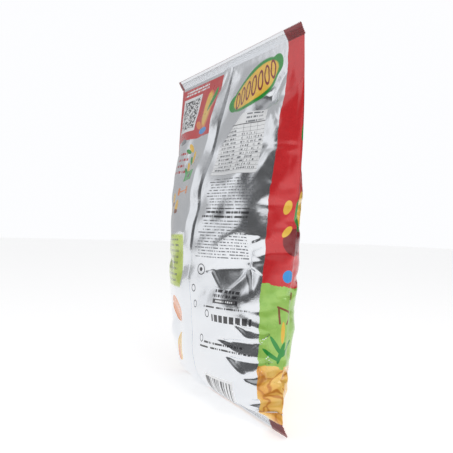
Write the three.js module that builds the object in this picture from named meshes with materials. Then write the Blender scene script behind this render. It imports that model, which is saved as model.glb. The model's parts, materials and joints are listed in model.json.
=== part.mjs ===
// A filled pillow bag as a vertical form, fill and seal machine makes it: one web of metallised film wrapped
// into a tube, joined down the back by a fin seal, and closed by a crimped seal at each end, with loose corn
// snacks inside. Millimetres, +Z up, the display face towards -Y and the fin seal on +Y. The origin is the
// middle of the plain margin on the front of the top end seal, where a display clip grips the bag.
import * as THREE from "three";
import { mergeVertices } from "three/addons/utils/BufferGeometryUtils.js";

// --- Driving dimensions ---------------------------------------------------------------------------------
const FLAT_WIDTH = 204; // of the empty bag laid flat, half the tube's girth
const BODY_HEIGHT = 280; // from one end seal's root to the other's, filled
const HALF_DEPTH = 35; // half the thickness at the fullest height
const FULLEST = 0.37; // height of the fullest section, as a share of the body
const SIDE_ROUNDING = 0.52; // exponent of a cross-section: 0.5 is an ellipse, 1 a parabola
const BASE_ROUNDING = 0.22; // exponent of the bulge below the fullest height
const HEAD_ROUNDING = 1.55; // and above it, where only gas holds the panels apart
const TWIST = THREE.MathUtils.degToRad(-5); // of the bottom seal against the top one
const BELLY_TURN = THREE.MathUtils.degToRad(5.5); // of the fullest part against the line between the seals
const FILM = 0.2; // the film's thickness
const GAP = 0.3; // between neighbouring pieces

const SEAL_HEIGHT = 9; // of each end seal, from its root to its cut edge
const MARGIN = 2.6; // plain film between the crimp and the cut edge
const HINGE_CLEARANCE = 0.7; // from the fold line to the seal's own film
const RIB_PITCH = 1.28;
const RIB_DEPTH = 0.3; // how far a rib stands off the seal's middle plane
const RIB_STEPS = 6; // straight facets in one rib
const TOP_LEAN = THREE.MathUtils.degToRad(37); // the top seal lies over towards the back
const BOTTOM_LEAN = THREE.MathUtils.degToRad(18); // and the bottom seal towards the front
const SEAL_HALF = FILM; // two plies of film, half to each side of the middle plane

const FIN_WIDTH = 12; // of the fin seal's flap, which lies towards +X
const FIN_OVERLAP = 0.8; // how far its root reaches past the middle

const SNACK = { length: 26, width: 18, thickness: 3, curl: 1.75, ribs: 5, ribDepth: 0.45 };
const SNACK_REACH = 14.6; // radius of the ball that a snack fits in at any angle
const SNACK_COUNT = 50;
const SNACK_SHIFT = 30; // how far the contents can be shaken up into the headspace
const SNACK_CLEARANCE = 3; // leaves room for the dents of a crumpled bag
const SNACK_FLOOR = 0.08; // share of the height that stays empty, where the film turns in to its seal

const ROWS = 28; // facets up the body
const COLUMNS = 14; // facets across a whole panel

// --- Shape of the filled body ---------------------------------------------------------------------------
const SEPARATION = FILM + GAP; // of the two panels' middle surfaces where they meet
const lerp = THREE.MathUtils.lerp;

// How far each panel bulges at a height share s, 0 at the bottom root and 1 at the top root.
function bulge(s) {
  const below = s < FULLEST;
  const away = below ? (FULLEST - s) / FULLEST : (s - FULLEST) / (1 - FULLEST);
  const rounding = below ? BASE_ROUNDING : HEAD_ROUNDING;
  return HALF_DEPTH * Math.pow(Math.max(0, 1 - away * away), rounding);
}

function sectionDepth(across, depth) {
  return depth * Math.pow(Math.max(0, 1 - across * across), SIDE_ROUNDING);
}

// Film doesn't stretch, so the half-width is the one whose section has the flat bag's width along its curve.
const ARC_STEPS = 60;
function halfWidth(depth) {
  let low = FLAT_WIDTH / 4;
  let high = FLAT_WIDTH / 2;
  for (let pass = 0; pass < 40; pass++) {
    const half = (low + high) / 2;
    let length = 0;
    let before = [-half, 0];
    for (let i = 1; i <= ARC_STEPS; i++) {
      const across = -Math.cos((Math.PI * i) / ARC_STEPS);
      const now = [half * across, sectionDepth(across, depth)];
      length += Math.hypot(now[0] - before[0], now[1] - before[1]);
      before = now;
    }
    if (length > FLAT_WIDTH) high = half;
    else low = half;
  }
  return low;
}

// How far a section is turned about the upright axis.
function turnAt(s) {
  return TWIST * (1 - s) + BELLY_TURN * Math.sin(Math.PI * s);
}

// A point of the film's middle surface: across runs from -1 to 1, and side is -1 on the front and 1 on the back.
const upAxis = new THREE.Vector3(0, 0, 1);
function filmPoint(across, s, side) {
  const depth = bulge(s);
  const x = halfWidth(depth) * across;
  const y = side * (SEPARATION / 2 + sectionDepth(across, depth));
  const point = new THREE.Vector3(x, y, (s - 1) * BODY_HEIGHT);
  return point.applyAxisAngle(upAxis, turnAt(s));
}

const NUDGE = 1e-3;
function filmNormal(across, s, side) {
  const clampAcross = (v) => THREE.MathUtils.clamp(v, -1, 1);
  const clampHeight = (v) => THREE.MathUtils.clamp(v, 0, 1);
  const alongWidth = filmPoint(clampAcross(across + NUDGE), s, side).sub(
    filmPoint(clampAcross(across - NUDGE), s, side),
  );
  const alongHeight = filmPoint(across, clampHeight(s + NUDGE), side).sub(
    filmPoint(across, clampHeight(s - NUDGE), side),
  );
  const normal = alongWidth.cross(alongHeight).normalize();
  return side < 0 ? normal : normal.negate();
}

// --- Solids ---------------------------------------------------------------------------------------------
// A closed sheet of film: place(i, j) gives a point and its outward normal, and the sheet lies between two
// offsets along that normal. flip turns the faces round where i and j run clockwise seen from outside.
function sheetGeometry(columns, rows, place, inner, outer, flip) {
  const positions = [];
  const indices = [];
  const wide = columns + 1;
  const layer = wide * (rows + 1);
  for (const offset of [outer, inner]) {
    for (let j = 0; j <= rows; j++) {
      for (let i = 0; i <= columns; i++) {
        const { point, normal } = place(i / columns, j / rows);
        positions.push(...point.clone().addScaledVector(normal, offset).toArray());
      }
    }
  }
  const quad = (a, b, c, d) => {
    if (flip) indices.push(a, c, b, a, d, c);
    else indices.push(a, b, c, a, c, d);
  };
  for (let j = 0; j < rows; j++) {
    for (let i = 0; i < columns; i++) {
      const a = j * wide + i;
      quad(a, a + 1, a + wide + 1, a + wide);
      quad(layer + a, layer + a + wide, layer + a + wide + 1, layer + a + 1);
    }
  }
  const edge = (a, b) => quad(a, layer + a, layer + b, b);
  for (let i = 0; i < columns; i++) {
    edge(i, i + 1);
    edge(rows * wide + i + 1, rows * wide + i);
  }
  for (let j = 0; j < rows; j++) {
    edge((j + 1) * wide, j * wide);
    edge(j * wide + columns, (j + 1) * wide + columns);
  }
  const geometry = new THREE.BufferGeometry();
  geometry.setAttribute("position", new THREE.Float32BufferAttribute(positions, 3));
  geometry.setIndex(indices);
  geometry.computeVertexNormals();
  return geometry;
}

// Heights bunch up towards the bottom root, where the panel turns in under the contents.
function bodyHeight(v) {
  const end = GAP / BODY_HEIGHT;
  return lerp(end, 1 - end, Math.pow(v, 1.7));
}

function panelGeometry(side, from, to, columns) {
  const start = Math.acos(-from);
  const finish = Math.acos(-to);
  const place = (u, v) => {
    const across = -Math.cos(lerp(start, finish, u));
    const s = bodyHeight(v);
    return { point: filmPoint(across, s, side), normal: filmNormal(across, s, side) };
  };
  return sheetGeometry(columns, ROWS, place, -FILM / 2, FILM / 2, side > 0);
}

function finGeometry() {
  const columns = 3;
  const place = (u, v) => {
    const s = bodyHeight(v);
    const half = halfWidth(bulge(s));
    const across = lerp(-FIN_OVERLAP, FIN_WIDTH, u) / half;
    return { point: filmPoint(across, s, 1), normal: filmNormal(across, s, 1) };
  };
  const inner = FILM / 2 + GAP;
  return sheetGeometry(columns, ROWS, place, inner, inner + 2 * FILM, true);
}

// An end seal's profile, from the root outwards: ribs pressed by the crimp jaws, then a plain margin. It is
// drawn with x along the seal's height and y through its thickness, and extruded across the bag.
function sealGeometry() {
  const crimpEnd = SEAL_HEIGHT - MARGIN;
  const ribs = Math.floor((crimpEnd - HINGE_CLEARANCE) / RIB_PITCH);
  const crimpStart = crimpEnd - ribs * RIB_PITCH;
  const middle = [new THREE.Vector2(HINGE_CLEARANCE, 0)];
  for (let k = 0; k <= ribs * RIB_STEPS; k++) {
    const turn = (2 * Math.PI * k) / RIB_STEPS;
    middle.push(new THREE.Vector2(crimpStart + (k * RIB_PITCH) / RIB_STEPS, RIB_DEPTH * Math.sin(turn)));
  }
  middle.push(new THREE.Vector2(SEAL_HEIGHT, 0));
  const face = (offset) => middle.map((p) => new THREE.Vector2(p.x, p.y + offset));
  const outline = new THREE.Shape([...face(-SEAL_HALF), ...face(SEAL_HALF).reverse()]);
  const geometry = new THREE.ExtrudeGeometry(outline, { depth: FLAT_WIDTH, bevelEnabled: false });
  geometry.translate(0, 0, -FLAT_WIDTH / 2);
  // x becomes the seal's height, along +Z; the extrusion lies along X and the thickness along Y.
  const axes = new THREE.Matrix4().makeBasis(
    new THREE.Vector3(0, 0, 1),
    new THREE.Vector3(0, 1, 0),
    new THREE.Vector3(-1, 0, 0),
  );
  return geometry.applyMatrix4(axes);
}

// A puffed corn snack: a ribbed oval tile, curled about its width.
function snackGeometry() {
  const { length, width, thickness, curl, ribs, ribDepth } = SNACK;
  const box = new THREE.BoxGeometry(1, 1, 1, 9, 3, 1);
  box.deleteAttribute("uv");
  box.deleteAttribute("normal");
  const geometry = mergeVertices(box, 1e-4);
  const position = geometry.getAttribute("position");
  const radius = length / curl;
  for (let i = 0; i < position.count; i++) {
    const u = 2 * position.getX(i);
    const v = 2 * position.getY(i);
    const w = position.getZ(i);
    const narrowing = Math.sqrt(1 - 0.62 * u * u);
    const thinning = 1 - 0.45 * v * v;
    const rib = ribDepth * Math.cos(Math.PI * ribs * u);
    const height = w * (thickness * thinning + rib);
    const angle = (u * curl) / 2;
    position.setXYZ(
      i,
      (radius + height) * Math.sin(angle),
      (v * width * narrowing) / 2,
      (radius + height) * Math.cos(angle) - radius * Math.cos(curl / 3.2),
    );
  }
  geometry.computeVertexNormals();
  return geometry;
}

// --- Materials ------------------------------------------------------------------------------------------
const printedFilm = new THREE.MeshStandardMaterial({ color: 0xc9242b, roughness: 0.3, metalness: 0.1 });
const silverFilm = new THREE.MeshStandardMaterial({ color: 0xc4c8ce, roughness: 0.28, metalness: 0.9 });
const puffedCorn = new THREE.MeshStandardMaterial({ color: 0xf0b03c, roughness: 0.85, metalness: 0 });

// --- Assembly -------------------------------------------------------------------------------------------
const bag = new THREE.Group();

function addMesh(name, geometry, material, parent = bag) {
  const mesh = new THREE.Mesh(geometry, material);
  mesh.name = name;
  parent.add(mesh);
  return mesh;
}

function addPanels() {
  const split = GAP / 2 / (FLAT_WIDTH / 2); // each side of the back's middle line
  const half = COLUMNS / 2;
  addMesh("front_panel", panelGeometry(-1, -1, 1, COLUMNS), printedFilm);
  addMesh("back_panel_right", panelGeometry(1, -1, -split, half), silverFilm);
  addMesh("back_panel_left", panelGeometry(1, split, 1, half), silverFilm);
  addMesh("fin_seal", finGeometry(), silverFilm);
}

function addEndSeals() {
  const top = addMesh("top_end_seal", sealGeometry(), silverFilm);
  top.rotation.x = -TOP_LEAN;
  const foot = new THREE.Group();
  foot.position.z = -BODY_HEIGHT;
  foot.rotation.z = TWIST;
  bag.add(foot);
  const bottom = addMesh("bottom_end_seal", sealGeometry(), silverFilm, foot);
  bottom.rotation.x = Math.PI - BOTTOM_LEAN;
}

// Repeatable random numbers from 0 to 1.
function makeRandom(seed) {
  let state = seed;
  return () => {
    state = (Math.imul(state, 1664525) + 1013904223) >>> 0;
    return state / 2 ** 32;
  };
}

// Whether a ball of the snack's reach is inside the film, both where it lies and shaken up.
function fitsInside(x, y, z) {
  return [0, SNACK_SHIFT / 2, SNACK_SHIFT].every((rise) => {
    for (const lift of [-SNACK_REACH, -SNACK_REACH / 2, 0, SNACK_REACH / 2, SNACK_REACH]) {
      const s = 1 + (z + rise + lift) / BODY_HEIGHT;
      if (s <= SNACK_FLOOR || s >= 1) return false;
      const reach = Math.sqrt(SNACK_REACH ** 2 - lift ** 2) + SNACK_CLEARANCE;
      const depth = bulge(s);
      const half = halfWidth(depth);
      for (let step = 0; step < 12; step++) {
        const turn = (Math.PI * step) / 6;
        const across = (x + reach * Math.cos(turn)) / half;
        const side = Math.abs(y + reach * Math.sin(turn));
        if (Math.abs(across) >= 1 || side > sectionDepth(across, depth)) return false;
      }
    }
    return true;
  });
}

// The snacks settle from the bottom up: each takes the lowest free place left, tumbled at random.
function addSnacks() {
  const random = makeRandom(7);
  const geometry = snackGeometry();
  const placed = [];
  const stepAcross = 5;
  const stepThrough = 4.5;
  for (let z = -BODY_HEIGHT; z < 0 && placed.length < SNACK_COUNT; z += 4) {
    const spots = [];
    for (let x = -FLAT_WIDTH / 2; x <= FLAT_WIDTH / 2; x += stepAcross) {
      for (let y = -HALF_DEPTH; y <= HALF_DEPTH; y += stepThrough) {
        spots.push({ x: x + random() * stepAcross, y: y + random() * stepThrough, order: random() });
      }
    }
    spots.sort((a, b) => a.order - b.order);
    for (const { x, y } of spots) {
      const spot = new THREE.Vector3(x, y, z);
      if (placed.length >= SNACK_COUNT) break;
      if (placed.some((other) => other.distanceTo(spot) < 2 * SNACK_REACH)) continue;
      if (fitsInside(x, y, z)) placed.push(spot);
    }
  }
  placed.forEach((spot, index) => {
    const name = `snack_${String(index + 1).padStart(2, "0")}`;
    const snack = addMesh(name, geometry, puffedCorn);
    snack.position.copy(spot).applyAxisAngle(upAxis, turnAt(1 + spot.z / BODY_HEIGHT));
    snack.rotation.set(random() * Math.PI * 2, random() * Math.PI * 2, random() * Math.PI * 2);
  });
}

addPanels();
addEndSeals();
addSnacks();

// The body is built with its top root at zero height, so it moves to put the origin on the clip's face.
const clipHeight = SEAL_HEIGHT - MARGIN / 2;
const clipPoint = new THREE.Vector3(0, -SEAL_HALF, clipHeight).applyAxisAngle(
  new THREE.Vector3(1, 0, 0),
  -TOP_LEAN,
);
bag.position.copy(clipPoint).negate();

const part = new THREE.Group();
part.add(bag);
export default part;
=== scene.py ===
"""A filled pillow bag of metallised snack film, around the frame of its CAD model."""

import json
import math

import bpy
import numpy as np
from mathutils import Matrix, Vector, noise


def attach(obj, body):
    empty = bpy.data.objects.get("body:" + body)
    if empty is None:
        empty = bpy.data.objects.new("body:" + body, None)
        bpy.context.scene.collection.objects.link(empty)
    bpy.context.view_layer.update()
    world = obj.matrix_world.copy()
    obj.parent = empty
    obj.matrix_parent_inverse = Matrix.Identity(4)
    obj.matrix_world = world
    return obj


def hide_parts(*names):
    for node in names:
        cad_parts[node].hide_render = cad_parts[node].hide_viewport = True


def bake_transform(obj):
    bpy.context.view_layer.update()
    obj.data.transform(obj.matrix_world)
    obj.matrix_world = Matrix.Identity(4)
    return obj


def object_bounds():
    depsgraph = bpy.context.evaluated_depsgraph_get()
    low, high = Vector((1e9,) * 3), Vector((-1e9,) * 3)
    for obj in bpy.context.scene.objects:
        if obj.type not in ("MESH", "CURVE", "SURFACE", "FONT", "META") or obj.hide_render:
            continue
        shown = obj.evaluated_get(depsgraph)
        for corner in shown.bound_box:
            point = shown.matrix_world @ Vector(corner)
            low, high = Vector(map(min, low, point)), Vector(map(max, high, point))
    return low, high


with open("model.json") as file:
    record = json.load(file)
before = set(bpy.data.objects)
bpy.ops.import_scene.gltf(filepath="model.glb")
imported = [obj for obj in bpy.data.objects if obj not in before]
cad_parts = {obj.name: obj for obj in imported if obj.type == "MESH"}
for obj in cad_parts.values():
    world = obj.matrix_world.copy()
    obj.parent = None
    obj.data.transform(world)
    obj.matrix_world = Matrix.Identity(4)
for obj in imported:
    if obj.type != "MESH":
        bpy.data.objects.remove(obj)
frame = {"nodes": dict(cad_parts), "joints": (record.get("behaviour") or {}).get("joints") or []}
CAD_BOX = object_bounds()
MM = 0.001

# --- Driving dimensions, in mm ---------------------------------------------------------------------
FLAT_WIDTH = 204.0  # of the empty bag, half the tube's girth
GIRTH = 2 * FLAT_WIDTH
FILM_LENGTH = 301.0  # of the web between the end seals' roots, laid flat
HALF_DEPTH, FULLEST = 35.0, 0.37  # half the thickness, and where that is as a share of the height
SIDE_ROUNDING, BASE_ROUNDING, HEAD_ROUNDING = 0.52, 0.22, 1.55
TWIST, BELLY_TURN = math.radians(-5.0), math.radians(5.5)
PLY_GAP = 0.3  # from the middle plane to either ply where they lie together
FILM = 0.12  # thickness of the film as drawn, where real film is about 0.05

SEAL_HEIGHT, MARGIN = 9.0, 2.6
RIB_PITCH, RIB_DEPTH = 1.28, 0.3
SEAL_HALF = 0.2  # half the thickness of two plies
TOP_LEAN, BOTTOM_LEAN = math.radians(37), math.radians(18)
TOOTH_PITCH, TOOTH_DEPTH = 1.7, 0.9  # of the knife that cuts one bag from the next
FIN_WIDTH = 12.0
FIN_OVERLAP = 1.2  # how far the flap starts before the seam

JOINTS = {joint["name"]: joint for joint in frame["joints"]}
TOP_ROOT = np.array(JOINTS["top_seal_fold"]["pos_m"]) / MM
BOTTOM_ROOT = np.array(JOINTS["bottom_seal_fold"]["pos_m"]) / MM
BODY_HEIGHT = TOP_ROOT[2] - BOTTOM_ROOT[2]

# --- Shape of the filled bag, with the top root at zero height ---------------------------------------


def bulge(s):
    """How far each panel stands out at a height share s, 0 at the bottom root and 1 at the top."""
    below = s < FULLEST
    away = np.where(below, (FULLEST - s) / FULLEST, (s - FULLEST) / (1 - FULLEST))
    rounding = np.where(below, BASE_ROUNDING, HEAD_ROUNDING)
    return HALF_DEPTH * np.maximum(0, 1 - away * away) ** rounding


def section(depth, steps):
    """Evenly spaced points along one panel's cross-section, which is as long as the bag is wide."""
    across = -np.cos(np.linspace(0, np.pi, 241))
    y = depth * np.maximum(0, 1 - across**2) ** SIDE_ROUNDING
    low, high = FLAT_WIDTH / 4, FLAT_WIDTH / 2
    for _ in range(40):
        half = (low + high) / 2
        length = np.hypot(np.diff(half * across), np.diff(y)).sum()
        low, high = (low, half) if length > FLAT_WIDTH else (half, high)
    along = np.r_[0, np.cumsum(np.hypot(np.diff(low * across), np.diff(y)))]
    even = np.linspace(0, along[-1], steps + 1)
    return np.interp(even, along, low * across), np.interp(even, along, y)


def height_share(points):
    return np.clip(1 + points[..., 2] / BODY_HEIGHT, 0, 1)


def turned(points, sign):
    """Points twisted with the bag where sign is 1, and untwisted where it is -1."""
    s = height_share(points)
    angle = sign * (TWIST * (1 - s) + BELLY_TURN * np.sin(np.pi * s))
    x, y, z = np.moveaxis(points, -1, 0)
    c, d = np.cos(angle), np.sin(angle)
    return np.stack([c * x - d * y, d * x + c * y, z], -1)


def smooth_film(rows, columns):
    """The tube of film before it creases: rows run up it, and columns across the back and then the front."""
    half = columns // 2
    points = np.zeros((rows + 1, columns, 3), np.float32)
    for r in range(rows + 1):
        x, y = section(float(bulge(np.array(r / rows))), half)
        y[1:-1] += PLY_GAP
        points[r, : half + 1, :2] = np.stack([x, y], -1)
        points[r, half + 1 :, :2] = np.stack([x, -y], -1)[1:-1][::-1]
        points[r, :, 2] = (r / rows - 1) * BODY_HEIGHT
    return turned(points, 1)


# --- The film's creases, by position-based dynamics ---------------------------------------------------
SEED = 11
COARSE, FINE, SHOWN = (60, 82), (120, 164), (240, 328)  # rows and columns of each grid
HEIGHTS = np.linspace(0, 1, 141)
HALF_WIDTHS = np.array([section(float(bulge(s)), 20)[0].max() for s in HEIGHTS])

# Dents pressed in between the snacks: across, height below the top root, radius and depth.
BACK_DENTS = [
    (-53, -169, 24, 7),
    (-84, -158, 12, 5),
    (-62, -38, 18, 3.5),
    (-14, -14, 13, 1.5),
    (-30, -75, 26, 3),
    (48, -70, 30, 4),
    (40, -225, 18, 4),
]
FRONT_DENTS = [(50, -60, 34, 5), (-45, -95, 30, 4), (-60, -225, 18, 3), (20, -150, 16, 3)]


def rumple(rng, waves, shortest, longest):
    """A smooth random field over the panel, from about -1 to 1."""
    size = rng.uniform(shortest, longest, waves)
    way = rng.uniform(0, 2 * np.pi, waves)
    start = rng.uniform(0, 2 * np.pi, waves)

    def field(x, z):
        total = 0
        for s, w, p in zip(size, way, start):
            total = total + np.sin(2 * np.pi * (x * np.cos(w) + z * np.sin(w)) / s + p)
        return total / np.sqrt(2 * waves)

    return field


def envelope(points, dents, head, body):
    """How far from the bag's middle plane the film may stand, for points that are untwisted."""
    x, z = points[..., 0], points[..., 2]
    s = height_share(points)
    half = np.interp(s, HEIGHTS, HALF_WIDTHS) + 2.5
    y = bulge(s) * np.maximum(0, 1 - (x / half) ** 2) ** SIDE_ROUNDING
    filled = np.clip((0.72 - s) / 0.15, 0, 1)
    ends = np.clip(np.minimum(s, 1 - s) / 0.08, 0, 1)
    y = y * (1 + (0.05 * body(x, z) - 0.03) * filled + 0.22 * head(x, z) * (1 - filled) * ends)
    for cx, cz, radius, depth in dents:
        y = y - depth * np.maximum(0, 1 - np.hypot(x - cx, z - cz) / radius)
    return (np.maximum(y, 0) + PLY_GAP).astype(np.float32)


def pull(a, b, rest, share):
    """The move that brings b towards its rest distance from a, half of it for each."""
    gap = b - a
    length = np.sqrt((gap * gap).sum(-1, keepdims=True)) + 1e-9
    return gap * ((length - rest) / length * 0.5 * share)


def hold_lengths(points, high, wide):
    """One sweep that keeps the film from stretching up, across and on both slants."""
    rows, columns = points.shape[0] - 1, points.shape[1]
    slant = math.hypot(high, wide)
    for odd in (0, 1):
        lower, upper = points[odd:-1:2], points[odd + 1 :: 2]
        count = min(len(lower), len(upper))
        move = pull(lower[:count], upper[:count], high, 1)
        lower[:count] += move
        upper[:count] -= move
        a = np.arange(odd, columns, 2)
        b = (a + 1) % columns
        move = pull(points[:, a], points[:, b], wide, 1)
        points[:, a] += move
        points[:, b] -= move
        for left, right in ((a, b), (b, a)):
            for start in (0, 1):
                r = np.arange(start, rows, 2)
                low_end, high_end = points[r][:, left], points[r + 1][:, right]
                move = pull(low_end, high_end, slant, 0.5)
                points[r[:, None], left] = low_end + move
                points[r[:, None] + 1, right] = high_end - move


def relax_bends(points, stiffness, half):
    """The film's stiffness, which is low along the two side folds."""
    flat = (np.roll(points, 1, 1) + np.roll(points, -1, 1)) / 2 - points
    flat[:, [0, half]] *= 0.12
    flat[1:-1] += (points[2:] + points[:-2]) / 2 - points[1:-1]
    return points + 0.5 * stiffness * flat


def settle(points, steps, sweeps, pressure, stiffness):
    """Presses the film out against its contents, with its two ends held by the seals."""
    rows, columns = points.shape[0] - 1, points.shape[1]
    half = columns // 2
    high, wide = FILM_LENGTH / rows, GIRTH / columns
    rng = np.random.default_rng(SEED + 1)
    head, body = rumple(rng, 7, 35, 110), rumple(rng, 9, 24, 55)
    velocity = np.zeros_like(points)
    ends = points[[0, -1]].copy()
    for _ in range(steps):
        normal = outward(points, True)
        s = height_share(points)[..., None]
        push = pressure * (0.2 + 0.8 * np.clip((0.9 - s) / 0.5, 0, 1)) / (2 * high * wide)
        before = points.copy()
        points = points + 0.9 * velocity + push * normal
        for sweep in range(sweeps):
            hold_lengths(points, high, wide)
            if sweep % 3 == 2:
                points = relax_bends(points, stiffness, half)
            points[[0, -1]] = ends
            local = turned(points, -1)
            if sweep % 3 == 0:
                back = envelope(local[:, : half + 1], BACK_DENTS, head, body)
                front = envelope(local[:, half + 1 :], FRONT_DENTS, head, body)
            y = local[..., 1]
            y[:, 1:half] = np.maximum(y[:, 1:half], PLY_GAP)
            y[:, half + 1 :] = np.minimum(y[:, half + 1 :], -PLY_GAP)
            y[:, : half + 1] -= 0.7 * np.maximum(0, y[:, : half + 1] - back)
            y[:, half + 1 :] -= 0.7 * np.minimum(0, y[:, half + 1 :] + front)
            # The film neither sags below its bottom seal nor folds back down over itself.
            local[..., 2] = np.clip(np.maximum.accumulate(local[..., 2], axis=0), -BODY_HEIGHT, 0)
            points = turned(local, 1)
            points[[0, -1]] = ends
        velocity = points - before
    return points


def outward(points, closed):
    """Outward normals of a grid, not yet of unit length. A closed grid's columns meet round the tube."""
    up = np.gradient(points, axis=0)
    if closed:
        return np.cross(up, np.roll(points, -1, 1) - np.roll(points, 1, 1))
    return np.cross(up, np.gradient(points, axis=1))


def unit(vectors):
    return vectors / (np.linalg.norm(vectors, axis=-1, keepdims=True) + 1e-12)


def refine(points, rows, columns):
    """The same film on a finer grid."""
    wrapped = np.concatenate([points, points[:, :1]], 1)
    r = np.linspace(0, points.shape[0] - 1, rows + 1)
    c = np.linspace(0, points.shape[1], columns + 1)[:-1]
    r0 = np.minimum(r.astype(int), points.shape[0] - 2)
    c0 = c.astype(int)
    up, along = (r - r0)[:, None, None], (c - c0)[None, :, None]
    tall = wrapped[r0] * (1 - up) + wrapped[r0 + 1] * up
    return tall[:, c0] * (1 - along) + tall[:, c0 + 1] * along


def rounded(points, passes):
    """The grid with the corners between its facets rounded off."""
    for _ in range(passes):
        points = (np.roll(points, 1, 1) + 2 * points + np.roll(points, -1, 1)) / 4
        points[1:-1] = (points[:-2] + 2 * points[1:-1] + points[2:]) / 4
    return points


def creased_film():
    rng = np.random.default_rng(SEED)
    points = smooth_film(*COARSE)
    points[1:-1] += rng.normal(0, 0.4, points[1:-1].shape).astype(np.float32)
    points = settle(points, steps=150, sweeps=12, pressure=0.10, stiffness=0.30)
    points = refine(points, *FINE).astype(np.float32)
    points[1:-1] += rng.normal(0, 0.04, points[1:-1].shape).astype(np.float32)
    points = settle(points, steps=110, sweeps=12, pressure=0.05, stiffness=0.14)
    return faceted(rounded(refine(points, *SHOWN), 2))


# Folds pressed into the back, on the flat film: from one end to the other, then the width and depth.
CREASES = [
    ((24, 143), (36, 138), 5, 1.4),
    ((20, 299), (80, 298), 4, 1.5),
    ((22, 278), (44, 252), 6, 1.7),
    ((36, 262), (22, 240), 5, 1.2),
    ((30, 222), (44, 198), 7, 1.0),
    ((108, 294), (122, 266), 4, 0.9),
    ((116, 296), (128, 272), 4, 0.8),
    ((126, 296), (142, 300), 5, 1.0),
    ((150, 170), (124, 158), 7, 1.4),
    ((190, 130), (150, 120), 7, 1.4),
    ((186, 60), (150, 74), 7, 1.3),
    ((120, 90), (112, 40), 6, 0.9),
]
# Flat facets between folds in the back: the flat film's u and v, and the depth, at the three corners.
FACETS = [
    ((72, 122, 2.2), (37, 125, 2.8), (56, 104, 0)),
    ((72, 122, 2.2), (37, 125, 2.8), (52, 131, 0)),
    ((37, 125, 2.8), (52, 131, 0), (30, 147, 0.4)),
    ((52, 131, 0), (40, 148, 0), (30, 148, 1.9)),
    ((37, 125, 2.8), (18, 118, 0), (26, 104, 0)),
    ((37, 79, 2.0), (15, 76, 2.0), (24, 68, 0)),
    ((55, 67, 2.2), (21, 69, 2.2), (34, 59, 0)),
    ((14, 71, 1.6), (33, 60, 0), (13, 57, 0)),
    ((48, 54, 2.0), (13, 55, 2.8), (27, 42, 0)),
    ((13, 55, 2.8), (27, 42, 0), (14, 45, 0)),
    ((28, 41, 1.6), (15, 46, 2.0), (13, 37, 0)),
    ((104, 301, 0), (76, 300, 1.4), (90, 291, 0)),
    ((104, 301, 0), (90, 291, 0), (97, 297, 1.3)),
    ((56, 262, 0), (36, 264, 1.6), (46, 251, 0)),
    ((36, 264, 1.6), (24, 256, 0), (46, 251, 0)),
]
FACET_SKIRT = 2.2  # mm outside a facet over which the film comes back to its own level


def segment_distance(u, v, start, end):
    """How far points are from a line, and how far along it their nearest point is, from 0 to 1."""
    way = np.subtract(end, start).astype(float)
    share = ((u - start[0]) * way[0] + (v - start[1]) * way[1]) / (way @ way)
    share = np.clip(share, 0, 1)
    return np.hypot(u - start[0] - share * way[0], v - start[1] - share * way[1]), share


def facet_depth(u, v, corners):
    """How deep a facet presses the film in: flat inside its corners, and gone past its skirt."""
    (au, av, a), (bu, bv, b), (cu, cv, c) = corners
    area = (bu - au) * (cv - av) - (cu - au) * (bv - av)
    to_a = ((bu - u) * (cv - v) - (cu - u) * (bv - v)) / area
    to_b = ((cu - u) * (av - v) - (au - u) * (cv - v)) / area
    to_c = 1 - to_a - to_b
    sides = math.dist((bu, bv), (cu, cv)), math.dist((cu, cv), (au, av)), math.dist((au, av), (bu, bv))
    inside = np.minimum.reduce([to * abs(area) / side for to, side in zip((to_a, to_b, to_c), sides)])
    depth = np.clip(to_a * a + to_b * b + to_c * c, 0, max(a, b, c))
    return depth * np.clip(1 + inside / FACET_SKIRT, 0, 1)


def crumple(u, v, rng, waves):
    """Flat facets that meet in sharp folds, at most about 3 mm deep."""
    bend = rumple(rng, 5, 30, 90)
    warp_u, warp_v = 7 * bend(u, v), 7 * bend(v + 40, u - 15)
    depth = 0
    for _ in range(waves):
        size, way, start = rng.uniform(15, 46), rng.uniform(0, np.pi), rng.uniform()
        phase = ((u + warp_u) * np.cos(way) + (v + warp_v) * np.sin(way)) / size + start
        depth = depth + np.abs(phase % 1 - 0.5) * size * 0.075
    return depth / math.sqrt(waves)


def faceted(film):
    """The film with its finer folds: facets all over, stronger towards the sides, and the named creases."""
    rows, columns = film.shape[:2]
    u = np.broadcast_to(np.arange(columns) * GIRTH / columns, (rows, columns))
    v = np.broadcast_to(np.linspace(0, FILM_LENGTH, rows)[:, None], (rows, columns))
    side = np.abs((u + FLAT_WIDTH / 2) % FLAT_WIDTH - FLAT_WIDTH / 2) / (FLAT_WIDTH / 2)
    strength = np.where(u > FLAT_WIDTH, 0.6, 0.22) + 0.75 * np.clip((0.62 - side) / 0.5, 0, 1)
    seam = np.clip((np.abs(u - FLAT_WIDTH / 2) - 10) / 14, 0.15, 1)
    fold = np.clip(side / 0.06, 0, 1)
    ends = np.clip(np.minimum(v, FILM_LENGTH - v) / 14, 0, 1)
    depth = crumple(u, v, np.random.default_rng(SEED + 5), 7) * strength * seam * fold * ends
    for start, end, width, deep in CREASES:
        distance, share = segment_distance(u, v, start, end)
        tapering = 0.35 + 0.65 * np.sin(np.pi * np.clip(share, 0.08, 0.92))
        depth = depth + deep * tapering * np.maximum(0, 1 - distance / width) * np.clip(ends * 3, 0, 1)
    depth = depth + np.maximum.reduce([facet_depth(u, v, corners) for corners in FACETS])
    # Where the plies lie close together, a fold is shallower, so that they don't cross.
    room = np.abs(turned(film, -1)[..., 1]) - PLY_GAP
    depth = np.minimum(depth, 0.7 * np.maximum(room, 0))
    return film - unit(outward(film, True)) * depth[..., None]


# --- Meshes -------------------------------------------------------------------------------------------


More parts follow.
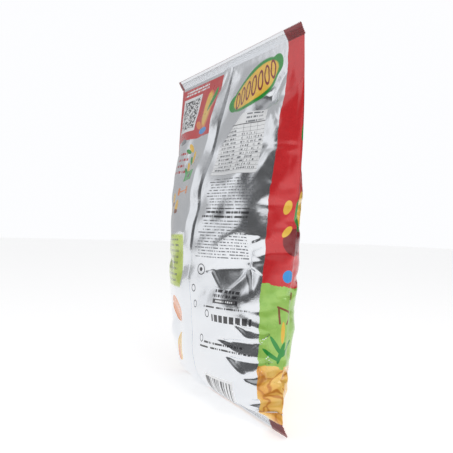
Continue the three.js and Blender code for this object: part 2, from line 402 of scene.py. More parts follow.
def grid_faces(rows, columns):
    """Quads of a grid of vertices, facing the side that outward() points to."""
    index = np.arange(rows * columns).reshape(rows, columns)
    a, b, c, d = index[:-1, :-1], index[1:, :-1], index[1:, 1:], index[:-1, 1:]
    return np.stack([a, b, c, d], -1).reshape(-1, 4)


def rim_faces(rows, columns):
    """Quads that close the gap between two layers of a grid round its edge."""
    index = np.arange(rows * columns).reshape(rows, columns)
    loop = np.r_[index[0, :-1], index[:-1, -1], index[-1, :0:-1], index[:0:-1, 0]]
    after = np.roll(loop, -1)
    layer = rows * columns
    return np.stack([loop, after, after + layer, loop + layer], -1)


def film_piece(name, outer, inner, outer_art, inner_art, materials):
    """A closed thin piece between two grids, in mm. Each grid has its own place in the print."""
    rows, columns = outer.shape[:2]
    layer = rows * columns
    points = np.concatenate([outer.reshape(-1, 3), inner.reshape(-1, 3)])
    art = np.concatenate([outer_art.reshape(-1, 2), inner_art.reshape(-1, 2)])
    outside = grid_faces(rows, columns)
    inside = outside[:, ::-1] + layer
    rim = rim_faces(rows, columns)
    faces = np.concatenate([outside, inside, rim])
    mesh = bpy.data.meshes.new(name)
    mesh.from_pydata((points + TOP_ROOT) * MM, [], faces.tolist())
    layer_uv = mesh.uv_layers.new(name="print")
    loops = np.zeros(len(mesh.loops), int)
    mesh.loops.foreach_get("vertex_index", loops)
    layer_uv.data.foreach_set("uv", (art[loops] / ART_SIZE).astype(np.float32).ravel())
    for material in materials:
        mesh.materials.append(material)
    slots = np.repeat([0, 1, 1], [len(outside), len(inside), len(rim)])
    mesh.polygons.foreach_set("material_index", slots)
    mesh.polygons.foreach_set("use_smooth", np.ones(len(faces), bool))
    sharpen_rim(mesh, rim)
    mesh.update()
    piece = bpy.data.objects.new(name, mesh)
    bpy.context.collection.objects.link(piece)
    return piece


def sharpen_rim(mesh, rim):
    """Keeps the shading of the two faces from running round the cut edge."""
    pairs = np.zeros(2 * len(mesh.edges), int)
    mesh.edges.foreach_get("vertices", pairs)
    wanted = {tuple(sorted(pair)) for k in (0, 2) for pair in rim[:, k : k + 2].tolist()}
    sharp = [tuple(sorted(pair)) in wanted for pair in pairs.reshape(-1, 2).tolist()]
    mesh.edges.foreach_set("use_edge_sharp", sharp)


# The print lies on a square that holds the whole web: the back from 0 to FLAT_WIDTH across, then the front.
ART_SIZE = 500.0
ART_LIFT = 20.0  # room for the bottom seal below zero height


def art_grid(across, up):
    across, up = np.broadcast_arrays(across, up)
    return np.stack([across, up + ART_LIFT], -1)


def panel(name, film, first, last, nodes, materials):
    """The columns of the film from first to last, as one panel."""
    rows, columns = film.shape[:2]
    picked = np.arange(first, last + 1)
    normals = unit(outward(film, True))[:, picked % columns]
    outer = film[:, picked % columns]
    across = picked[None, :] * GIRTH / columns
    up = np.linspace(0, FILM_LENGTH, rows)[:, None]
    art = art_grid(across, up)
    piece = film_piece(name, outer, outer - FILM * normals, art, art, materials)
    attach(piece, "bag")
    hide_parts(*nodes)
    return piece


def fin_flap(film, materials):
    """The fin seal's two plies, folded over towards +X, with a free edge that stands off the back."""
    rows, columns = film.shape[:2]
    seam = columns // 4
    across = np.linspace(-FIN_OVERLAP, FIN_WIDTH, 23)
    place = seam + across * columns / GIRTH
    low = np.floor(place).astype(int)
    share = (place - low)[None, :, None]
    normals = unit(outward(film, True))
    base = film[:, low] * (1 - share) + film[:, low + 1] * share
    normal = unit(normals[:, low] * (1 - share) + normals[:, low + 1] * share)
    normal = rounded_rows(normal, 12)
    base = rounded_rows(base, 6)
    height = np.linspace(0, 1, rows)[:, None]
    held = np.clip(np.minimum(height, 1 - height) / 0.04, 0, 1)
    wave = 0.35 * np.sin(height * 31) + 0.25 * np.sin(height * 83 + 1)
    root = np.clip((across + FIN_OVERLAP) / 2.6, 0, 1)[None, :]
    rise = np.clip((across + FIN_OVERLAP) / (FIN_WIDTH + FIN_OVERLAP), 0, 1)[None, :]
    lift = 0.15 + (0.4 * root + (1.5 + wave) * rise) * (0.35 + 0.65 * held)
    thickness = 0.1 + 0.34 * root
    outer = base + normal * (lift + thickness / 2)[..., None]
    inner = base + normal * np.maximum(0.06, lift - thickness / 2)[..., None]
    art = art_grid(FLAT_WIDTH / 2 + across[None, :], height * FILM_LENGTH)
    piece = film_piece("fin_flap", outer, inner, art, art, materials)
    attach(piece, "bag")
    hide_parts("fin_seal")
    return piece


def rounded_rows(grid, passes):
    """The grid, smoothed in place from row to row."""
    for _ in range(passes):
        grid[1:-1] = (grid[:-2] + 2 * grid[1:-1] + grid[2:]) / 4
    return grid


def end_seal(end, root, lean, upward, materials):
    """The top or bottom end seal: ribs crimped across it, then plain film up to the knife's toothed cut."""
    across_axis = Vector(JOINTS[end + "_seal_fold"]["axis"])
    teeth = round(FLAT_WIDTH / TOOTH_PITCH)
    x = np.linspace(-FLAT_WIDTH / 2, FLAT_WIDTH / 2, teeth * 6 + 1)
    tooth = np.abs((np.arange(len(x)) / 6) % 1 - 0.5) * 2 * TOOTH_DEPTH
    share = np.linspace(0, 1, 60)[:, None]
    along = share * (SEAL_HEIGHT - tooth)[None, :]
    crimp_end = SEAL_HEIGHT - MARGIN
    ribs = math.floor(crimp_end / RIB_PITCH)
    start = crimp_end - ribs * RIB_PITCH
    inside = (along > start) & (along < crimp_end)
    rib = np.where(inside, RIB_DEPTH * np.sin(2 * np.pi * (along - start) / RIB_PITCH), 0)
    bow = share**1.5 * (0.5 * np.sin(x / 31 + 1) + 0.3 * np.sin(x / 13))[None, :]
    curl = 0.5 * share**2 * np.clip((np.abs(x) - 92) / 10, 0, 1)[None, :] ** 2
    off = rib + bow - curl
    out = Vector((0, 0, 1 if upward else -1))
    turn = Matrix.Rotation(-lean, 3, across_axis)
    along_axis, back_axis = np.array(turn @ out), np.array(turn @ across_axis.cross(Vector((0, 0, -1))))
    middle = x[None, :, None] * np.array(across_axis) + along[..., None] * along_axis
    middle = middle + (root - TOP_ROOT)
    half = SEAL_HALF * back_axis
    outer = middle + off[..., None] * back_axis + half
    inner = middle + off[..., None] * back_axis - half
    up = FILM_LENGTH + along if upward else -along
    back_art = art_grid((x + FLAT_WIDTH / 2)[None, :], up)
    front_art = art_grid((1.5 * FLAT_WIDTH - x)[None, :], up)
    if not upward:  # the rows run downwards, so they are turned round to face out
        outer, inner, back_art, front_art = (g[::-1] for g in (outer, inner, back_art, front_art))
    piece = film_piece(end + "_seal_film", outer, inner, back_art, front_art, materials)
    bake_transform(piece)
    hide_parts(end + "_end_seal")
    return piece


# --- Shader nodes as arithmetic -----------------------------------------------------------------------


class Field:
    """A number at each point of a surface. Arithmetic on it adds shader nodes."""

    def __init__(self, tree, socket):
        self.tree, self.socket = tree, socket

    def calc(self, operation, *others):
        node = self.tree.nodes.new("ShaderNodeMath")
        node.operation = operation
        for socket, value in zip(node.inputs, (self, *others)):
            if isinstance(value, Field):
                self.tree.links.new(value.socket, socket)
            else:
                socket.default_value = value
        return Field(self.tree, node.outputs[0])

    def __add__(self, other):
        return self.calc("ADD", other)

    def __sub__(self, other):
        return self.calc("SUBTRACT", other)

    def __mul__(self, other):
        return self.calc("MULTIPLY", other)

    def __truediv__(self, other):
        return self.calc("DIVIDE", other)

    def __or__(self, other):
        return self.calc("MAXIMUM", other)

    def __and__(self, other):
        return self.calc("MINIMUM", other)

    def abs(self):
        return self.calc("ABSOLUTE")

    def floor(self):
        return self.calc("FLOOR")

    def fraction(self):
        return self.calc("FRACT")

    def above(self, level):
        return self.calc("GREATER_THAN", level)

    def below(self, level):
        return self.calc("LESS_THAN", level)

    def ramp(self, low, high):
        """0 below low and 1 above high."""
        node = self.tree.nodes.new("ShaderNodeMapRange")
        node.interpolation_type = "SMOOTHSTEP"
        node.inputs["From Min"].default_value = min(low, high)
        node.inputs["From Max"].default_value = max(low, high)
        if low > high:
            node.inputs["To Min"].default_value = 1
            node.inputs["To Max"].default_value = 0
        self.tree.links.new(self.socket, node.inputs["Value"])
        return Field(self.tree, node.outputs["Result"])


def vector(*fields):
    tree = fields[0].tree
    node = tree.nodes.new("ShaderNodeCombineXYZ")
    for socket, field in zip(node.inputs, fields):
        tree.links.new(field.socket, socket)
    return node.outputs[0]


def speckle(*fields):
    """White noise that is the same wherever the fields are the same."""
    tree = fields[0].tree
    node = tree.nodes.new("ShaderNodeTexWhiteNoise")
    tree.links.new(vector(*fields), node.inputs["Vector"])
    return Field(tree, node.outputs["Value"])


def cloud(tree, place, scale, detail=2.0):
    """Smooth noise, about 0.5 on average."""
    node = tree.nodes.new("ShaderNodeTexNoise")
    node.inputs["Scale"].default_value = scale
    node.inputs["Detail"].default_value = detail
    tree.links.new(place, node.inputs["Vector"])
    return Field(tree, node.outputs["Fac"])


def box(u, v, left, right, bottom, top, soft=0.15):
    """1 inside a rectangle of the print."""
    wide = (u - (left + right) / 2).abs() - (right - left) / 2
    tall = (v - (bottom + top) / 2).abs() - (top - bottom) / 2
    return (wide | tall).ramp(soft, -soft)


def ellipse(u, v, centre, radii, tilt=0.0, soft=0.08):
    """1 inside an ellipse. Tilt turns it anticlockwise, in degrees."""
    c, s = math.cos(math.radians(tilt)), math.sin(math.radians(tilt))
    du, dv = u - centre[0], v - centre[1]
    along, aside = du * c + dv * s, dv * c - du * s
    size = (along / radii[0]).calc("POWER", 2.0) + (aside / radii[1]).calc("POWER", 2.0)
    return size.ramp(1 + soft, 1 - soft)


def stroke(u, v, start, end, width):
    """1 along a straight line."""
    length = math.dist(start, end)
    tilt = math.degrees(math.atan2(end[1] - start[1], end[0] - start[0]))
    centre = ((start[0] + end[0]) / 2, (start[1] + end[1]) / 2)
    c, s = math.cos(math.radians(tilt)), math.sin(math.radians(tilt))
    du, dv = u - centre[0], v - centre[1]
    along, aside = (du * c + dv * s).abs() - length / 2, (dv * c - du * s).abs() - width / 2
    return (along | aside).ramp(0.15, -0.15)


def rows_of_type(u, v, area, pitch, weight, letter=0.8, gaps=0.3):
    """Greeked text: rows of dashes that no one can read."""
    left, right, bottom, top = area
    row = ((v - bottom) / pitch).floor()
    within = ((v - bottom) / pitch).fraction().below(weight)
    mark = speckle((u / letter).floor(), row).above(gaps)
    ragged = speckle(row, row * 0.7 + 3.0) * 0.12 * (right - left) * -1 + right
    return within & mark & box(u, v, left, right, bottom, top) & (u - ragged).below(0)


class Print:
    """Inks laid over each other on the film, with the share of the metal that they cover."""

    def __init__(self, tree, ground, cover):
        self.tree, self.ground = tree, ground
        self.colour, self.cover = None, cover

    def ink(self, mask, colour, opacity=0.9):
        mix = self.tree.nodes.new("ShaderNodeMix")
        mix.data_type = "RGBA"
        self.tree.links.new(mask.socket, mix.inputs["Factor"])
        if self.colour is None:
            mix.inputs["A"].default_value = (*self.ground, 1)
        else:
            self.tree.links.new(self.colour, mix.inputs["A"])
        if isinstance(colour, tuple):
            mix.inputs["B"].default_value = (*colour, 1)
        else:
            self.tree.links.new(colour, mix.inputs["B"])
        self.colour = mix.outputs["Result"]
        self.cover = (mask * -1 + 1) * self.cover + mask * opacity


def blend_colours(factor, low, high):
    mix = factor.tree.nodes.new("ShaderNodeMix")
    mix.data_type = "RGBA"
    mix.inputs["A"].default_value = (*low, 1)
    mix.inputs["B"].default_value = (*high, 1)
    factor.tree.links.new(factor.socket, mix.inputs["Factor"])
    return mix.outputs["Result"]


SILVER = (0.78, 0.80, 0.83)
WHITE = (0.86, 0.87, 0.88)
BLACK = (0.03, 0.03, 0.035)
RED = (0.60, 0.022, 0.026)
DARK_RED = (0.22, 0.008, 0.012)
LEAF = (0.02, 0.30, 0.04)
LIME = (0.48, 0.62, 0.03)
YELLOW = (0.90, 0.55, 0.06)
ORANGE = (0.82, 0.24, 0.03)
BLUE = (0.02, 0.30, 0.75)
BROWN = (0.25, 0.07, 0.02)
GREY = (0.20, 0.21, 0.23)

BARE_ROUGHNESS = 0.13
PRINT_EDGE = 20.5  # how far the front's print wraps round onto the back


def film_material(name, draw, ground=SILVER, cover=0.0):
    """Printed metallised film. draw lays the inks, from the print's own u and v in mm."""
    material = bpy.data.materials.new(name)
    material.use_nodes = True
    tree = material.node_tree
    shader = tree.nodes["Principled BSDF"]
    place = tree.nodes.new("ShaderNodeUVMap")
    place.uv_map = "print"
    split = tree.nodes.new("ShaderNodeSeparateXYZ")
    tree.links.new(place.outputs[0], split.inputs[0])
    u = Field(tree, split.outputs["X"]) * ART_SIZE
    v = Field(tree, split.outputs["Y"]) * ART_SIZE - ART_LIFT
    spread = vector(u, v)
    inks = Print(tree, ground, cover)
    draw(inks, u, v, spread)
    smear = cloud(tree, spread, 0.05, 3.0)
    if inks.colour is None:
        shader.inputs["Base Color"].default_value = (*ground, 1)
        shader.inputs["Metallic"].default_value = 1 - cover
        rough = smear * 0.12 + BARE_ROUGHNESS
    else:
        tree.links.new(inks.colour, shader.inputs["Base Color"])
        tree.links.new((inks.cover * -1 + 1).socket, shader.inputs["Metallic"])
        rough = inks.cover * 0.10 + smear * 0.12 + BARE_ROUGHNESS
    tree.links.new(rough.socket, shader.inputs["Roughness"])
    shader.inputs["IOR"].default_value = 1.5
    shader.inputs["Coat Weight"].default_value = 0.7
    shader.inputs["Coat Roughness"].default_value = 0.18
    crinkle = cloud(tree, spread, 0.16, 3.0)
    streaks = cloud(tree, vector(u * 0.9 + v * 0.3, v * 0.12), 1.0, 2.0)
    bump = tree.nodes.new("ShaderNodeBump")
    bump.inputs["Strength"].default_value = 0.3
    bump.inputs["Distance"].default_value = 0.0006
    tree.links.new((crinkle + streaks * 0.12).socket, bump.inputs["Height"])
    tree.links.new(bump.outputs[0], shader.inputs["Normal"])
    return material


def draw_wrap(inks, w, v, spread):
    """The front's print. w runs from the near side fold across the front, and is below zero on the back."""
    tree = inks.tree
    wobble = cloud(tree, spread, 0.11, 3.0)
    printed = (w + wobble * 3.0).above(1.5 - PRINT_EDGE)
    mottle = cloud(tree, spread, 0.13, 4.0)
    red = blend_colours(mottle, (0.58, 0.014, 0.020), (0.74, 0.030, 0.034))
    inks.ink(printed, red)
    hill = (v - w * -0.10 - wobble * 6).below(110.0)
    field = blend_colours(mottle, (0.20, 0.48, 0.05), (0.50, 0.76, 0.18))
    inks.ink(printed & hill, field)
    draw_roadside(inks, w, v, printed)
    heap_top = (v - wobble * 9).below(47.0)
    inks.ink(printed & heap_top, heap_of_snacks(tree, spread))
    inks.ink(printed & ((v.below(1.0)) | (v.above(FILM_LENGTH - 0.5))), DARK_RED)


def draw_roadside(inks, w, v, printed):
    """Small pictures by the near side fold: corn kernels, leaves, a ball and a wooden fence."""
    inks.ink(printed & ellipse(w, v, (-5.5, 174), (3.0, 5.6), -14), YELLOW)
    inks.ink(printed & ellipse(w, v, (3, 147), (10.5, 10.5)), DARK_RED)
    inks.ink(printed & ellipse(w, v, (-4.5, 155), (2.4, 5.2), -38), YELLOW)
    inks.ink(printed & ellipse(w, v, (6, 168), (5, 13), 10), LEAF)
    inks.ink(printed & ellipse(w, v, (12, 172), (6, 15), 5), YELLOW)
    inks.ink(printed & ellipse(w, v, (4, 232), (3.2, 8), -12), LEAF)
    inks.ink(printed & ellipse(w, v, (-0.5, 121), (4.2, 4.8)), BLUE)
    for start, end in (((-7, 97), (6, 92)), ((-6, 97), (-4, 84)), ((7, 108), (3, 92)), ((5, 92), (1, 84))):
        inks.ink(printed & stroke(w, v, start, end, 1.5), BROWN)
    inks.ink(printed & ellipse(w, v, (-1.5, 78), (1.4, 8), 0), YELLOW)
    for centre, tilt in (((-6, 68), 35), ((-2, 63), -15), ((3, 66), -40), ((-10, 61), 60)):
        inks.ink(printed & ellipse(w, v, centre, (1.6, 8.5), tilt), LEAF)


def heap_of_snacks(tree, spread):
    """A picture of the snacks: curled shapes from yellow to orange, with dark gaps between them."""
    warp = tree.nodes.new("ShaderNodeTexNoise")
    warp.inputs["Scale"].default_value = 0.05
    tree.links.new(spread, warp.inputs["Vector"])
    push = tree.nodes.new("ShaderNodeVectorMath")
    push.operation = "MULTIPLY_ADD"
    push.inputs[1].default_value = (26, 26, 0)
    tree.links.new(warp.outputs["Color"], push.inputs[0])
    tree.links.new(spread, push.inputs[2])

    def cells(feature):
        node = tree.nodes.new("ShaderNodeTexVoronoi")
        node.feature = feature
        node.inputs["Scale"].default_value = 0.062
        tree.links.new(push.outputs[0], node.inputs["Vector"])
        return node.outputs["Distance"]

    ramp = tree.nodes.new("ShaderNodeValToRGB")
    stops = ramp.color_ramp.elements
    stops[0].position, stops[0].color = 0.08, (1.0, 0.82, 0.48, 1)
    stops[1].position, stops[1].color = 0.80, (0.86, 0.40, 0.06, 1)
    for position, shade in ((0.2, (1.0, 0.72, 0.24, 1)), (0.5, (0.97, 0.58, 0.12, 1))):
        stops.new(position).color = shade
    tree.links.new(cells("F1"), ramp.inputs[0])
    gap = Field(tree, cells("DISTANCE_TO_EDGE")).ramp(0.015, 0.07)
    mix = tree.nodes.new("ShaderNodeMix")
    mix.data_type = "RGBA"
    mix.inputs["A"].default_value = (0.66, 0.25, 0.03, 1)
    tree.links.new(gap.socket, mix.inputs["Factor"])
    tree.links.new(ramp.outputs[0], mix.inputs["B"])
    return mix.outputs["Result"]


def draw_badge(inks, u, v, centre, size, tilt):
    """A plain oval badge with a leaf at each end. It carries a row of kernels and no name."""
    long, short = size
    c, s = math.cos(math.radians(tilt)), math.sin(math.radians(tilt))
    for side in (-1, 1):
        tip = (centre[0] + side * long * 0.82 * c, centre[1] + side * long * 0.82 * s)
        inks.ink(ellipse(u, v, tip, (long * 0.34, short * 0.5), tilt + side * 24), LEAF)
    inks.ink(ellipse(u, v, centre, (long, short), tilt), LEAF)
    inks.ink(ellipse(u, v, centre, (long * 0.93, short * 0.80), tilt), YELLOW)
    for k in range(-3, 4):
        along = k * long * 0.245
        spot = (centre[0] + along * c, centre[1] + along * s)
        reach = short * (0.60 - 0.035 * abs(k))
        inks.ink(ellipse(u, v, spot, (long * 0.105, reach), tilt + 8), DARK_RED)
        inks.ink(ellipse(u, v, spot, (long * 0.058, reach * 0.74), tilt + 8), YELLOW)


def draw_table(inks, u, v):
    """The nutrition table, with its cells ruled and its figures greeked."""
    left, right, bottom, top = 37.0, 94.0, 200.0, 252.0
    slope = (u + v).below(66.0 + top)
    sheet = box(u, v, left, right, bottom, top) & slope
    inks.ink(sheet, WHITE, 0.95)
    body = box(u, v, left, right, bottom, 242.0) & slope
    title = box(u, v, left, right, 242.6, top) & slope
    inks.ink(title & rows_of_type(u, v, (40, 62, 243, 251), 3.4, 0.45), GREY)
    pitch = 3.25
    ruled = ((v - bottom) / pitch).fraction().below(0.08)
    columns = stroke(u, v, (46, bottom + 6), (46, 242), 0.35)
    for place in (54, 62):
        columns = columns | stroke(u, v, (place, bottom + 6), (place, 242), 0.35)
    inks.ink(body & (ruled | columns), GREY, 0.8)
    inks.ink(body & rows_of_type(u, v, (70, 92, bottom + 4, 240), pitch, 0.45, 0.7, 0.35), GREY, 0.5)
    inks.ink(body & rows_of_type(u, v, (39, 66, bottom + 4, 236), pitch, 0.45, 0.8, 0.62), GREY, 0.5)
    inks.ink(stroke(u, v, (left, 242.3), (78, 242.3), 0.7), BLACK)


def draw_small_print(inks, u, v):
    """Blocks of greeked text below the table, with symbols, a pill-shaped button and bars."""
    inks.ink(rows_of_type(u, v, (36, 92, 174, 197), 2.4, 0.4, 0.6, 0.3), GREY, 0.75)
    inks.ink(rows_of_type(u, v, (37, 95, 164, 172), 3.6, 0.5, 0.7, 0.2), BLACK, 0.9)
    inks.ink(rows_of_type(u, v, (37, 96, 131, 162), 2.5, 0.4, 0.6, 0.3), GREY, 0.75)
    ring = ellipse(u, v, (86, 121), (4.6, 4.6)) & (ellipse(u, v, (86, 121), (3.8, 3.8)) * -1 + 1)
    inks.ink(ring | ellipse(u, v, (86, 121), (1.7, 1.7)), BLACK)
    inks.ink(rows_of_type(u, v, (40, 70, 100, 108), 3.9, 0.6, 1.1, 0.25), BLACK)
    inks.ink(box(u, v, 40, 68, 95.2, 98.6), BLACK)
    inks.ink(rows_of_type(u, v, (43, 65, 96.2, 97.8), 1.9, 0.8, 0.9, 0.4), WHITE)
    inks.ink(rows_of_type(u, v, (29, 81, 91, 93), 2.2, 0.6, 0.7, 0.25), BLACK)
    inks.ink(box(u, v, 27, 69, 80.5, 86) & (u / 6.1).fraction().below(0.74), BLACK)
    inks.ink(rows_of_type(u, v, (35, 81, 62, 64.4), 2.6, 0.65, 0.9, 0.25), BLACK)
    inks.ink(rows_of_type(u, v, (25, 88, 58, 60.2), 2.4, 0.65, 0.8, 0.25), BLACK)
    for spot in ((95, 105), (93, 92), (75, 86), (84, 65)):
        outer = ellipse(u, v, spot, (2.6, 3.2))
        inks.ink(outer & (ellipse(u, v, spot, (1.9, 2.4)) * -1 + 1), BLACK, 0.8)
    bars = speckle((u / 1.25).floor(), (u * 0).floor()).above(0.42)
    inks.ink(box(u, v, 44, 86, 10, 36), WHITE, 0.6)
    inks.ink(box(u, v, 46, 84, 13, 34) & bars, BLACK, 0.9)


def draw_back_right(inks, u, v, spread):
    draw_table(inks, u, v)
    draw_small_print(inks, u, v)
    draw_badge(inks, u, v, (60, 275), (32, 17), -23)
    draw_wrap(inks, u * -1, v, spread)


def draw_back_left(inks, u, v, spread):
    """The far half of the back: a red block, then small pictures and a lime label down the silver film."""
    wobble = cloud(inks.tree, spread, 0.11, 3.0)
    block = (v + wobble * 3).above(243.0) & v.below(FILM_LENGTH - 3.0) & u.above(112.0)
    inks.ink(block, RED)
    inks.ink(rows_of_type(u, v, (143, 196, 291, 297), 2.9, 0.6, 1.0, 0.2), WHITE)
    inks.ink(box(u, v, 155, 195, 251, 288), WHITE, 0.95)
    squares = speckle((u / 1.3).floor(), (v / 1.3).floor()).above(0.5)
    inks.ink(box(u, v, 158, 192, 254, 285) & squares, BLACK)
    inks.ink(ellipse(u, v, (135, 268), (9, 20), -6), ORANGE)
    inks.ink(ellipse(u, v, (136, 269), (7, 17), -6), YELLOW)
    inks.ink(ellipse(u, v, (129, 277), (3, 12), 24), LEAF)
    inks.ink(ellipse(u, v, (146, 254), (7, 3.2), 30), ORANGE)
    inks.ink(ellipse(u, v, (134, 247), (9, 3), 0), BLUE)
    inks.ink(ellipse(u, v, (172, 240), (8, 3.2), 0), GREY)
    for spot, tilt in (((150, 232), 40), ((140, 222), 80), ((146, 212), 60)):
        inks.ink(ellipse(u, v, spot, (6.5, 2.4), tilt), YELLOW)
        inks.ink(ellipse(u, v, (spot[0] + 4, spot[1] - 3), (5, 2), tilt - 20), LEAF)
    inks.ink(box(u, v, 128, 150, 199, 209), (0.02, 0.42, 0.06))
    inks.ink(box(u, v, 133, 142, 202, 205), BLACK, 0.6)
    inks.ink(stroke(u, v, (132, 190), (156, 189), 1.4) | box(u, v, 130, 135, 186, 193), ORANGE)
    inks.ink(box(u, v, 153, 158, 186, 193), ORANGE)
    for spot in ((168, 183), (156, 176), (174, 171)):
        inks.ink(ellipse(u, v, spot, (4.5, 6.0), 10), YELLOW)
        inks.ink(ellipse(u, v, (spot[0], spot[1] - 5), (4.5, 2.2), 0), BROWN)
    inks.ink(rows_of_type(u, v, (152, 182, 208, 232), 6.0, 0.4, 1.0, 0.5), RED, 0.35)
    inks.ink(box(u, v, 123, 178, 103, 149, 1.2), LIME)
    inks.ink(rows_of_type(u, v, (134, 170, 107, 145), 5.2, 0.4, 0.9, 0.3), (0.12, 0.16, 0.01))
    orange = ellipse(u, v, (140, 82), (14, 12), 12) & cloud(inks.tree, spread, 0.12, 2.0).above(0.36)
    inks.ink(orange, ORANGE)
    inks.ink(ellipse(u, v, (136, 48), (8, 14), 18), YELLOW)
    inks.ink(ellipse(u, v, (139, 42), (4, 9), 25), ORANGE)
    inks.ink((u * -1 + FLAT_WIDTH).below(5.0), RED)


def draw_front(inks, u, v, spread):
    """The display face, a guess: the print that wraps round, with a badge and a heap of snacks."""
    w = u * -1 + GIRTH
    draw_wrap(inks, w, v, spread)
    for spot in ((40, 150), (150, 168), (172, 130), (30, 205), (176, 235)):
        inks.ink(ellipse(w, v, spot, (4, 7), spot[0]), YELLOW)
    big = ellipse(w, v, (104, 108), (72, 48), 0, 0.03)
    inks.ink(big, heap_of_snacks(inks.tree, spread))
    draw_badge(inks, w, v, (102, 218), (82, 34), 14)
    inks.ink(box(w, v, 26, 66, 20, 27, 0.4), WHITE)
    inks.ink(rows_of_type(w, v, (29, 63, 21, 26), 2.6, 0.55, 1.2, 0.25), DARK_RED)


def draw_seal_back(inks, u, v, spread):
    """The end seals from behind: bare film, with the front's dark red at both ends."""
    inks.ink(u.below(PRINT_EDGE) | u.above(FLAT_WIDTH - 5.0), DARK_RED)


def draw_nothing(inks, u, v, spread):
    """Bare film."""


def puff_material():
    """Dry puffed corn: a pitted skin, darker where it browned."""
    material = bpy.data.materials.new("puffed_corn")
    material.use_nodes = True
    tree = material.node_tree
    shader = tree.nodes["Principled BSDF"]
    place = tree.nodes.new("ShaderNodeTexCoord").outputs["Object"]
    tone = cloud(tree, place, 160.0, 5.0)
    tree.links.new(blend_colours(tone, (0.62, 0.24, 0.03), (0.95, 0.62, 0.16)), shader.inputs["Base Color"])
    shader.inputs["Roughness"].default_value = 0.85
    shader.inputs["Subsurface Weight"].default_value = 0.1
    pits = cloud(tree, place, 900.0, 4.0)
    bump = tree.nodes.new("ShaderNodeBump")
    bump.inputs["Strength"].default_value = 0.6
    bump.inputs["Distance"].default_value = 0.0008
    tree.links.new(pits.socket, bump.inputs["Height"])
    tree.links.new(bump.outputs[0], shader.inputs["Normal"])
    return material


# --- The pieces ---------------------------------------------------------------------------------------


def puffed_snack(node, material):
    """A CAD snack, rounded and roughened into a puff."""
    source = frame["nodes"][node]
    piece = bpy.data.objects.new(node + "_puff", source.data.copy())
    bpy.context.collection.objects.link(piece)
    piece.matrix_world = source.matrix_world.copy()
    rounding = piece.modifiers.new("rounding", "SUBSURF")
    rounding.levels = rounding.render_levels = 2
    evaluated = piece.evaluated_get(bpy.context.evaluated_depsgraph_get())
    mesh = bpy.data.meshes.new_from_object(evaluated)
    piece.modifiers.clear()
    piece.data = mesh
    places = [vertex.co.copy() for vertex in mesh.vertices]
    normals = [vertex.normal.copy() for vertex in mesh.vertices]
    for k, (place, normal) in enumerate(zip(places, normals)):
        swell = noise.noise(place * 260) * 0.35 + noise.noise(place * 700) * 0.15
        places[k] = place + normal * (swell * MM)
    mesh.vertices.foreach_set("co", np.array(places).ravel())
    mesh.polygons.foreach_set("use_smooth", np.ones(len(mesh.polygons), bool))
    mesh.materials.clear()
    mesh.materials.append(material)
    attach(piece, "contents")
    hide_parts(node)
    return piece


def build_snacks():
    corn = puff_material()
    for node in sorted(frame["nodes"]):
        if node.startswith("snack_"):
            puffed_snack(node, corn)


def build_film():
    """The panels, the fin flap and the end seals."""
    film = creased_film()
    inside = film_material("film_inside", draw_nothing)
    right = film_material("film_back_right", draw_back_right)
    left = film_material("film_back_left", draw_back_left)
    front = film_material("film_front", draw_front, RED, 0.9)
    quarter, half = film.shape[1] // 4, film.shape[1] // 2
    pieces = [
        panel("back_film_right", film, 0, quarter, ["back_panel_right"], [right, inside]),
        panel("back_film_left", film, quarter, half, ["back_panel_left"], [left, inside]),
        panel("front_film", film, half, film.shape[1], ["front_panel"], [front, inside]),
        fin_flap(film, [inside, inside]),
    ]
    faces = [film_material("seal_back", draw_seal_back), front]
    pieces.append(end_seal("top", TOP_ROOT, TOP_LEAN, True, faces))
    pieces.append(end_seal("bottom", BOTTOM_ROOT, BOTTOM_LEAN, False, faces))


# --- Studio -------------------------------------------------------------------------------------------
# Bearings in degrees from +X towards +Y where the room starts and stops getting brighter or darker.
OPENING = (30, 39, 51, 56)
DARK_WALL = (54, 64, 112, 126)
ROOM_LEVEL, OPENING_LEVEL, DARK_SHARE = 0.50, 0.50, 0.80
FLOOR_GLOW = 0.5  # keeps the floor near white
CAMERA_TURN, CAMERA_RISE, CAMERA_ROLL = math.radians(240.2), math.radians(-0.45), math.radians(1.78)
CAMERA_DISTANCE = 0.488
AIM_LEFT, AIM_UP = 0.0015, 0.0008  # m, of the camera's target from the middle of the bag
LENS_MM, SENSOR_MM = 44.5, 36.0


def add_camera():
    turn, rise, roll = CAMERA_TURN, CAMERA_RISE, CAMERA_ROLL
    back = Vector((math.sin(turn) * math.cos(rise), -math.cos(turn) * math.cos(rise), math.sin(rise)))
    right = Vector((math.cos(turn), math.sin(turn), 0))
    up = back.cross(right)
    middle = Vector((TOP_ROOT + BOTTOM_ROOT) / 2 * MM)
    target = middle - AIM_LEFT * right + Vector((0, 0, AIM_UP))
    right, up = right * math.cos(roll) + up * math.sin(roll), up * math.cos(roll) - right * math.sin(roll)
    camera = bpy.data.objects.new("camera", bpy.data.cameras.new("camera"))
    bpy.context.collection.objects.link(camera)
    camera.data.lens, camera.data.sensor_width = LENS_MM, SENSOR_MM
    camera.data.clip_start = 0.02
    facing = Matrix((right, up, back)).transposed().to_4x4()
    camera.matrix_world = Matrix.Translation(target + back * CAMERA_DISTANCE) @ facing
    bpy.context.scene.camera = camera


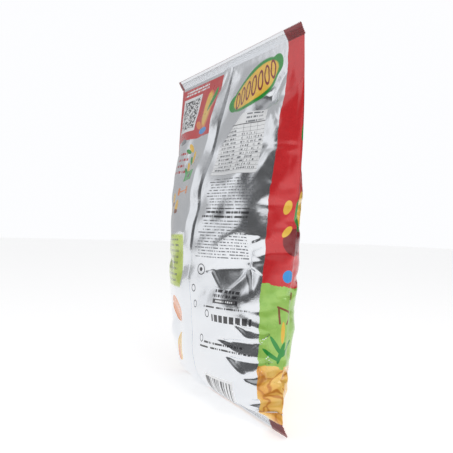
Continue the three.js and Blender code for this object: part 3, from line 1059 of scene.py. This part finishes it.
def add_light(name, direction, distance, size, power):
    """A square soft light that faces the middle of the bag."""
    aim = Vector((TOP_ROOT + BOTTOM_ROOT) / 2 * MM)
    data = bpy.data.lights.new(name, "AREA")
    data.size, data.energy = size, power
    light = bpy.data.objects.new(name, data)
    bpy.context.collection.objects.link(light)
    light.location = aim + Vector(direction).normalized() * distance
    light.rotation_euler = (light.location - aim).to_track_quat("Z", "Y").to_euler()


def add_floor():
    low = CAD_BOX[0][2] - 0.0005
    bpy.ops.mesh.primitive_plane_add(size=12, location=(0, 0, low))
    floor = bpy.context.object
    floor.name = "floor"
    material = bpy.data.materials.new("floor")
    material.use_nodes = True
    shader = material.node_tree.nodes["Principled BSDF"]
    shader.inputs["Base Color"].default_value = (0.9, 0.9, 0.9, 1)
    shader.inputs["Roughness"].default_value = 0.9
    shader.inputs["Emission Color"].default_value = (1, 1, 1, 1)
    shader.inputs["Emission Strength"].default_value = FLOOR_GLOW
    floor.data.materials.append(material)


def add_surroundings():
    """A pale room for the foil to mirror, with a dark wall and a bright opening on each side of the bag."""
    world = bpy.data.worlds.new("studio")
    bpy.context.scene.world = world
    world.use_nodes = True
    tree = world.node_tree
    background = tree.nodes["Background"]
    way = tree.nodes.new("ShaderNodeSeparateXYZ")
    tree.links.new(tree.nodes.new("ShaderNodeTexCoord").outputs["Generated"], way.inputs[0])
    x, y, z = (Field(tree, way.outputs[k]) for k in range(3))
    bearing = y.abs().calc("ARCTAN2", x) * math.degrees(1)
    low = z.ramp(0.62, 0.42)
    bright = bearing.ramp(*OPENING[:2]) & bearing.ramp(*OPENING[:1:-1]) & low
    dark = bearing.ramp(*DARK_WALL[:2]) & bearing.ramp(*DARK_WALL[:1:-1]) & low
    level = (bright * OPENING_LEVEL + ROOM_LEVEL) * (dark * -DARK_SHARE + 1)
    seen = Field(tree, tree.nodes.new("ShaderNodeLightPath").outputs["Is Camera Ray"])
    tree.links.new((level | seen).socket, background.inputs["Strength"])
    background.inputs["Color"].default_value = (0.98, 0.985, 1.0, 1)


def set_stage():
    add_camera()
    add_floor()
    add_surroundings()
    add_light("key", direction=(-0.9, 0.35, 1.1), distance=1.5, size=0.7, power=5)
    bpy.context.scene.view_settings.view_transform = "Standard"


build_snacks()
build_film()
set_stage()
